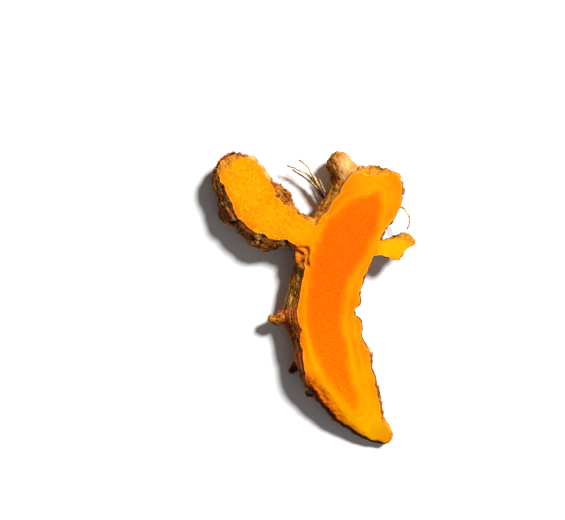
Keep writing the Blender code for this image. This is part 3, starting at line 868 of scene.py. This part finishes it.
class Nodes:
    """A short way to write a material's node tree."""

    def __init__(self, name):
        self.material = bpy.data.materials.new(name)
        self.material.use_nodes = True
        self.tree = self.material.node_tree
        self.shader = self.tree.nodes["Principled BSDF"]

    def node(self, kind, **settings):
        made = self.tree.nodes.new(kind)
        for key, value in settings.items():
            setattr(made, key, value)
        return made

    def link(self, source, target):
        self.tree.links.new(source, target)

    def feed(self, socket, value):
        if isinstance(value, bpy.types.NodeSocket):
            self.link(value, socket)
        elif isinstance(value, tuple) and len(value) == 3 and socket.type == "RGBA":
            socket.default_value = (*value, 1.0)
        else:
            socket.default_value = value

    def value(self, name):
        """A number that set_values stored."""
        return self.node("ShaderNodeAttribute", attribute_name=name).outputs["Fac"]

    def mask(self, name, low, high, to_low=0.0, to_high=1.0):
        return self.span(self.value(name), low, high, to_low, to_high)

    def vector(self, name):
        return self.node("ShaderNodeAttribute", attribute_name=name).outputs["Vector"]

    def place(self):
        """Place on the object in millimetres."""
        texture = self.node("ShaderNodeTexCoord")
        return self.scaled(texture.outputs["Object"], (1 / MM,) * 3)

    def scaled(self, vector, scale):
        mapping = self.node("ShaderNodeMapping")
        self.feed(mapping.inputs["Vector"], vector)
        put(mapping, {"Scale": scale})
        return mapping.outputs["Vector"]

    def noise(self, vector, scale, detail=4.0, rough=0.55, warp=0.0):
        made = self.node("ShaderNodeTexNoise")
        self.feed(made.inputs["Vector"], vector)
        put(made, {"Scale": scale, "Detail": detail, "Roughness": rough, "Distortion": warp})
        return made.outputs["Fac"]

    def math(self, operation, a, b=0.0, clamp=False):
        made = self.node("ShaderNodeMath", operation=operation, use_clamp=clamp)
        self.feed(made.inputs[0], a)
        self.feed(made.inputs[1], b)
        return made.outputs[0]

    def times(self, first, *factors):
        for factor in factors:
            first = self.math("MULTIPLY", first, factor)
        return first

    def most(self, first, *others):
        for other in others:
            first = self.math("MAXIMUM", first, other)
        return first

    def span(self, value, low, high, to_low=0.0, to_high=1.0):
        """The value mapped smoothly from one span to another, and held at its ends."""
        made = self.node("ShaderNodeMapRange", interpolation_type="SMOOTHSTEP")
        self.feed(made.inputs["Value"], value)
        put(made, {"From Min": low, "From Max": high, "To Min": to_low, "To Max": to_high})
        return made.outputs["Result"]

    def mix(self, share, a, b):
        """Colour a, with this share of colour b over it."""
        made = self.node("ShaderNodeMix", data_type="RGBA")
        self.feed(made.inputs["Factor"], share)
        self.feed(made.inputs[6], a)
        self.feed(made.inputs[7], b)
        return made.outputs[2]

    def surface(self, colour, roughness, specular):
        self.feed(self.shader.inputs["Base Color"], colour)
        put(self.shader, {"Roughness": roughness, "Specular IOR Level": specular})

    def bump(self, height, strength, distance):
        """Fine relief in the shading alone, its height given in millimetres."""
        made = self.node("ShaderNodeBump")
        self.feed(made.inputs["Height"], height)
        put(made, {"Strength": strength, "Distance": distance * MM})
        self.link(made.outputs["Normal"], self.shader.inputs["Normal"])


# Colours as linear red, green and blue.
DARK_BARK = (0.020, 0.0055, 0.002)
BROWN_BARK = (0.24, 0.045, 0.004)
TAN_BARK = (0.62, 0.20, 0.016)
PALE_BARK = (0.92, 0.55, 0.14)
CREAM_BARK = (0.98, 0.67, 0.21)
GOLD_BARK = (0.95, 0.36, 0.018)
RED_BARK = (0.78, 0.062, 0.004)
BRICK_BARK = (0.95, 0.170, 0.030)
KNOB_SKIN = (0.90, 0.43, 0.135)
PEELED = (0.94, 0.27, 0.004)

CORTEX = (0.95, 0.186, 0.0)
CORTEX_DEEP = (0.86, 0.143, 0.0)
CORTEX_LIGHT = (0.95, 0.325, 0.0)
CORTEX_LEMON = (0.98, 0.50, 0.0)
LINE_LIGHT = (0.95, 0.34, 0.0)
CORE_DEEP = (0.83, 0.075, 0.0)
CORE_ORANGE = (0.95, 0.116, 0.0)
CORE_LIGHT = (0.95, 0.160, 0.0)
CORE_LOW = (0.95, 0.175, 0.0)
CORE_END = (0.95, 0.275, 0.0)
CORTEX_RUDDY = (0.80, 0.105, 0.002)
FINGER_LIGHT = (0.98, 0.44, 0.004)
FINGER_DARK = (0.72, 0.130, 0.0)
BRUISE = (0.38, 0.098, 0.006)
BRUISE_LIGHT = (0.93, 0.40, 0.022)
SCRAPED = (0.90, 0.19, 0.006)
SCRAPED_DARK = (0.66, 0.085, 0.003)
STUB_ORANGE = (0.93, 0.225, 0.006)
STUB_DARK = (0.20, 0.035, 0.004)
STRAW_DARK = (0.46, 0.25, 0.07)
STRAW = (0.95, 0.74, 0.34)
STRAW_TIP = (0.07, 0.03, 0.012)
STRAW_ROOT_SHADE = (0.045, 0.016, 0.006)
TABLE_GREY = (0.86, 0.86, 0.86)
SKY_TINT = (0.98, 0.92, 0.90)

# Patches of colour on the skin: the mask, the colour, and its share where the bark is dark and light.
SKIN_PATCHES = (
    ("red", RED_BARK, 0.3, 0.95),
    ("brick", BRICK_BARK, 0.15, 0.95),
    ("gold", GOLD_BARK, 0.15, 0.95),
    ("pale", KNOB_SKIN, 0.65, 1.0),
    ("orange", STUB_ORANGE, 0.5, 0.95),
)

# In the materials below a noise's numbers are its scale a millimetre, detail, roughness and warp, and
# a span's numbers are where a mask starts and is full, then its values there.


def patched_bark(n, place, tone, strands, specks):
    """Bark from dark to pale by its tone, then the patches, painted highlights of cream strands, glints and
    fibre ridges, and painted shade in the gaps between strands.
    """
    blotches = n.noise(place, 0.32, 4.0, 0.6)
    glints = n.noise(place, 3.4, 3.0, 0.7)
    bark = n.mix(n.span(tone, 0.42, 0.50), DARK_BARK, BROWN_BARK)
    bark = n.mix(n.span(tone, 0.49, 0.57), bark, TAN_BARK)
    bark = n.mix(n.span(tone, 0.57, 0.65), bark, PALE_BARK)
    bark = n.mix(n.times(n.span(blotches, 0.45, 0.7), n.span(tone, 0.44, 0.6)), bark, TAN_BARK)
    bark = n.mix(n.times(n.value("lip"), n.span(specks, 0.42, 0.6)), bark, PALE_BARK)
    for name, colour, least, most in SKIN_PATCHES:
        bark = n.mix(n.times(n.value(name), n.span(tone, 0.38, 0.54, least, most)), bark, colour)
    # Painted highlights: cream strands over the smoothest patches, and cream glints all over.
    smoothest = n.most(n.times(n.value("gold"), 0.5), n.value("pale"))
    bark = n.mix(n.times(smoothest, n.span(strands, 0.54, 0.62), 0.8), bark, CREAM_BARK)
    bark = n.mix(n.span(glints, 0.64, 0.70, 0.0, 0.85), bark, CREAM_BARK)

    # Painted shade in the gaps between the strands, weaker on the pale and orange patches.
    gaps = n.times(n.span(strands, 0.47, 0.41), n.span(specks, 0.60, 0.48))
    gaps = n.times(gaps, n.mask("pale", 0.2, 0.9, 0.85, 0.15), n.mask("orange", 0.4, 0.8, 1.0, 0.2))
    bark = n.mix(gaps, bark, DARK_BARK)
    # Painted highlight: gold to cream on the fibre ridges, weaker on the red and brick patches.
    shine = n.times(n.mask("red", 0.2, 0.8, 0.9, 0.45), n.mask("brick", 0.3, 0.9, 1.0, 0.5))
    ridge = n.times(n.value("ridge"), n.span(specks, 0.42, 0.54), shine)
    return n.mix(ridge, bark, n.mix(n.span(blotches, 0.42, 0.58), GOLD_BARK, CREAM_BARK))


def skin_material():
    n = Nodes("turmeric_skin")
    place = n.place()
    fibres = n.vector("fibre_place")
    streaks = n.noise(n.scaled(fibres, (1.0, 1.0, 0.2)), 1.7, 7.0, 0.74, 0.4)
    strands = n.noise(n.scaled(fibres, (1.0, 1.0, 0.08)), 2.1, 5.0, 0.7, 0.2)
    specks = n.noise(place, 2.4, 6.0, 0.82)
    tone = n.math("ADD", n.times(streaks, 0.48), n.times(specks, 0.52))
    bark = patched_bark(n, place, tone, strands, specks)

    rim_gap, orange, pale = n.value("rim_gap"), n.value("orange"), n.value("pale")
    # Painted shade in the dip of the skin beside the cut rim, weaker on the finger and on the gold, pale and
    # orange patches.
    rim_shade = n.times(n.span(rim_gap, 1.1, 0.2), n.span(specks, 0.60, 0.46))
    rim_shade = n.times(rim_shade, n.mask("finger", 0.0, 0.5, 0.85, 0.25))
    rim_shade = n.times(rim_shade, n.span(n.most(n.value("gold"), pale, orange), 0.3, 0.8, 1.0, 0.25))
    bark = n.mix(rim_shade, bark, DARK_BARK)
    # Painted shade: the skin darkens in its dips, less on the pale and orange patches.
    crevice_shade = n.times(n.mask("hollow_shade", 0.25, 0.9), n.span(pale, 0.2, 0.9, 0.95, 0.2))
    crevice_shade = n.times(crevice_shade, n.span(orange, 0.3, 0.7, 1.0, 0.05))
    bark = n.mix(crevice_shade, bark, DARK_BARK)
    # Dark spots, partly dark skin and partly painted shade in cracks.
    bark = n.mix(n.times(n.value("dark"), n.span(specks, 0.62, 0.5, 0.5, 0.97)), bark, DARK_BARK)
    peeled = n.math("MULTIPLY", n.value("peeled"), n.span(rim_gap, 2.6, 1.0), clamp=True)
    bark = n.mix(n.times(peeled, n.span(specks, 0.36, 0.50, 0.4, 1.0)), bark, PEELED)

    n.surface(bark, 0.66, 0.06)
    rough = n.noise(n.scaled(fibres, (1.0, 1.0, 0.25)), 4.0, 6.0, 0.7)
    n.bump(n.math("ADD", rough, specks), 0.9, 0.16)
    return n.material


def cortex_colour(n, gap, wave, lengthwise, granules, grit):
    """The outer flesh: yellow to deep orange in patches, coarser in the finger, with pale lines."""
    yellow = n.math("ADD", n.value("yellow"), n.times(wave, 0.5), clamp=True)
    cortex = n.mix(yellow, CORTEX, CORTEX_LIGHT)
    cortex = n.mix(n.value("lemon"), cortex, CORTEX_LEMON)
    cortex = n.mix(n.value("deep"), cortex, CORTEX_DEEP)
    cortex = n.mix(n.span(grit, 0.50, 0.40, 0.0, 0.35), cortex, CORTEX_DEEP)
    finger = n.value("finger")
    cortex = n.mix(n.times(finger, n.span(granules, 0.50, 0.62)), cortex, FINGER_LIGHT)
    cortex = n.mix(n.times(finger, n.span(granules, 0.45, 0.36, 0.0, 0.75)), cortex, FINGER_DARK)
    line = n.times(n.span(gap, 0.5, 1.3), n.span(gap, 2.8, 1.6))
    outer_line = n.times(n.span(gap, 3.2, 3.7), n.span(gap, 4.6, 4.0))
    line = n.most(line, n.times(outer_line, 0.6))
    return n.mix(n.times(line, n.span(lengthwise, -2.0, -16.0, 0.35, 0.75)), cortex, LINE_LIGHT)


def core_colour(n, lengthwise, fine, grit):
    """The inner flesh: deeper orange, lighter towards both ends."""
    core = n.mix(n.span(fine, 0.4, 0.62), CORE_ORANGE, CORE_LIGHT)
    core = n.mix(n.span(lengthwise, 19.0, 28.0, 0.0, 0.8), core, CORE_LIGHT)
    core = n.mix(n.span(lengthwise, 6.0, -20.0), core, CORE_LOW)
    core = n.mix(n.span(lengthwise, -18.0, -31.0), core, CORE_END)
    core = n.mix(n.span(grit, 0.55, 0.44, 0.0, 0.6), core, CORE_DEEP)
    return n.mix(n.span(grit, 0.54, 0.62, 0.0, 0.35), core, CORE_END)


def scraped_edge(n, colour, lengthwise, fine, granules, dust):
    """The lower left edge: a rough scraped band, dark along its outside."""
    lower_edge = n.value("lower_edge")
    band = n.times(n.span(lower_edge, 0.0, 1.3), n.span(fine, 0.38, 0.60, 0.25, 1.0))
    scraped = n.mix(n.span(granules, 0.44, 0.58), SCRAPED_DARK, SCRAPED)
    scraped = n.mix(n.span(dust, 0.58, 0.68, 0.0, 0.7), scraped, CREAM_BARK)
    colour = n.mix(band, colour, scraped)
    outer = n.math("ADD", n.value("rim_gap"), n.times(n.math("SUBTRACT", fine, 0.5), 2.4))
    outer = n.times(n.span(outer, 1.35, 0.85), n.span(lower_edge, 0.05, 0.4))
    return n.mix(n.times(outer, n.span(lengthwise, -20.5, -25.5), 0.97), colour, DARK_BARK)


def flesh_material():
    n = Nodes("turmeric_flesh")
    place = n.place()
    parts = n.node("ShaderNodeSeparateXYZ")
    n.link(place, parts.inputs[0])
    lengthwise = parts.outputs["Y"]
    flat_place = n.scaled(place, (1.0, 1.0, 0.0))
    turned = n.node("ShaderNodeMapping")
    n.link(flat_place, turned.inputs["Vector"])
    put(turned, {"Rotation": (0.0, 0.0, math.radians(38.0))})
    wander = n.noise(flat_place, 0.35, 3.0, 0.55)
    fine = n.noise(flat_place, 2.2, 5.0, 0.7)
    dust = n.noise(flat_place, 5.0, 4.0, 0.75)
    grit = n.noise(flat_place, 1.6, 6.0, 0.85)
    granules = n.noise(n.scaled(turned.outputs["Vector"], (1.0, 0.45, 1.0)), 1.9, 6.0, 0.78)

    wave = n.math("SUBTRACT", wander, 0.5)
    gap = n.math("ADD", n.value("core_gap"), n.times(wave, 1.6))
    gap = n.math("ADD", gap, n.times(n.math("SUBTRACT", fine, 0.5), 0.7))
    cortex = cortex_colour(n, gap, wave, lengthwise, granules, grit)
    colour = n.mix(n.span(gap, 1.2, -1.3), cortex, core_colour(n, lengthwise, fine, grit))

    rim_gap, sunk, abraded = n.value("rim_gap"), n.value("sunk"), n.value("bevel")
    # Redder flesh by the rim: partly its own colour, partly painted shade on edges facing away from the key
    # lamp.
    edge = n.times(n.value("ruddy"), n.span(rim_gap, 2.0, 0.3), n.span(fine, 0.35, 0.55, 0.4, 1.0))
    colour = n.mix(edge, colour, CORTEX_RUDDY)
    fringe = n.times(n.span(rim_gap, 0.55, 0.05), n.span(fine, 0.42, 0.58, 0.2, 0.7))
    colour = n.mix(fringe, colour, BRUISE_LIGHT)
    broken = n.mix(n.span(fine, 0.32, 0.45), STUB_DARK, STUB_ORANGE)
    colour = n.mix(n.span(sunk, 0.3, 0.8), colour, broken)
    # Painted shadow line along the step down to the broken bud.
    colour = n.mix(n.mask("sunken_step_shade", 0.8, 1.0, 0.0, 0.75), colour, DARK_BARK)
    colour = scraped_edge(n, colour, lengthwise, fine, granules, dust)
    worn = n.mix(n.span(grit, 0.46, 0.57), BRUISE, BRUISE_LIGHT)
    worn = n.mix(n.span(dust, 0.57, 0.66, 0.0, 0.85), worn, CREAM_BARK)
    share = n.times(n.most(abraded, n.value("worn")), n.span(fine, 0.3, 0.5, 0.6, 0.97))
    colour = n.mix(share, colour, worn)
    # Dark spots on the worn, sunken and rim flesh: partly dark marks, partly painted shade in cracks.
    spot = n.times(n.value("dark"), n.most(abraded, sunk, n.span(rim_gap, 0.9, 0.3)))
    colour = n.mix(n.times(spot, n.span(fine, 0.62, 0.46)), colour, DARK_BARK)

    n.surface(colour, 0.5, 0.02)
    put(n.shader, {"Subsurface Weight": 0.12, "Subsurface Scale": 1.2 * MM})
    put(n.shader, {"Subsurface Radius": (1.0, 0.35, 0.05)})
    n.bump(n.math("ADD", granules, fine), 0.35, 0.08)
    return n.material


def rootlet_material():
    n = Nodes("rootlet_straw")
    mottle = n.noise(n.place(), 1.6, 4.0, 0.6)
    colour = n.mix(n.span(mottle, 0.4, 0.58), STRAW_DARK, STRAW)
    colour = n.mix(n.mask("tip", 0.86, 1.0), colour, STRAW_TIP)
    # Painted shade: darker near the root, where the tuft meets the body.
    colour = n.mix(n.mask("tip", 0.54, 0.30), colour, STRAW_ROOT_SHADE)
    n.surface(colour, 0.6, 0.5)
    n.bump(mottle, 0.6, 0.08)
    return n.material


FLOOR_REACH = 1500.0


def make_floor():
    """The plain table top."""
    reach = FLOOR_REACH * MM
    corners = [(-reach, -reach, 0.0), (reach, -reach, 0.0), (reach, reach, 0.0), (-reach, reach, 0.0)]
    floor = new_object("table", corners, [(0, 1, 2, 3)])
    n = Nodes("white_table")
    n.surface(TABLE_GREY, 0.9, 0.1)
    floor.data.materials.append(n.material)


# The key lamp, from the upper right, and a weak wide fill lamp: azimuth, elevation and spread in
# degrees, and strength. The sky is dim.
LAMPS = (
    ("key", 42.0, 46.0, 11.0, 5.35),
    ("fill", -40.0, 38.0, 70.0, 0.3),
)
SKY_STRENGTH = 0.105


def add_lamp(name, azimuth, elevation, spread, strength):
    lamp = bpy.data.lights.new(name, "SUN")
    lamp.energy = strength
    lamp.angle = math.radians(spread)
    obj = bpy.data.objects.new(name, lamp)
    obj.rotation_euler = (0.0, math.radians(90 - elevation), math.radians(azimuth))
    bpy.context.scene.collection.objects.link(obj)


def make_light():
    for lamp in LAMPS:
        add_lamp(*lamp)
    world = bpy.data.worlds.new("studio")
    world.use_nodes = True
    sky = world.node_tree.nodes["Background"]
    put(sky, {"Color": (*SKY_TINT, 1.0), "Strength": SKY_STRENGTH})
    bpy.context.scene.world = world
    bpy.context.scene.view_settings.view_transform = "Standard"


# The camera: the middle of the photograph and its width at the cut face, in table millimetres.
IMAGE_MIDDLE = (-8.82, 9.8)
FRAME_WIDTH = 158.2
LENS = 85.0
SENSOR = 36.0
NEAR_CLIP = 10.0


def make_camera():
    """Straight above the photograph's middle, at the height where its frame fits the cut face."""
    data = bpy.data.cameras.new("camera")
    data.lens = LENS
    data.sensor_width = SENSOR
    data.sensor_fit = "HORIZONTAL"
    data.clip_start = NEAR_CLIP * MM
    camera = bpy.data.objects.new("camera", data)
    x = IMAGE_MIDDLE[0] - MIDDLE[0]
    y = IMAGE_MIDDLE[1] - MIDDLE[1]
    z = CUT_HEIGHT - FLAT_DEPTH + FRAME_WIDTH * LENS / SENSOR
    camera.location = (x * MM, y * MM, z * MM)
    bpy.context.scene.collection.objects.link(camera)
    bpy.context.scene.camera = camera


make_camera()
make_light()
make_floor()

limbs = grow_limbs()
half = fuse(limbs)
carve_skin(half, limbs)
cut(half, skin_material(), flesh_material())
finish_half(half)
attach(half, "root")
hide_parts("rhizome")

roots = rootlets(rootlet_material())
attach(roots, "root")
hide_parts("rhizome")
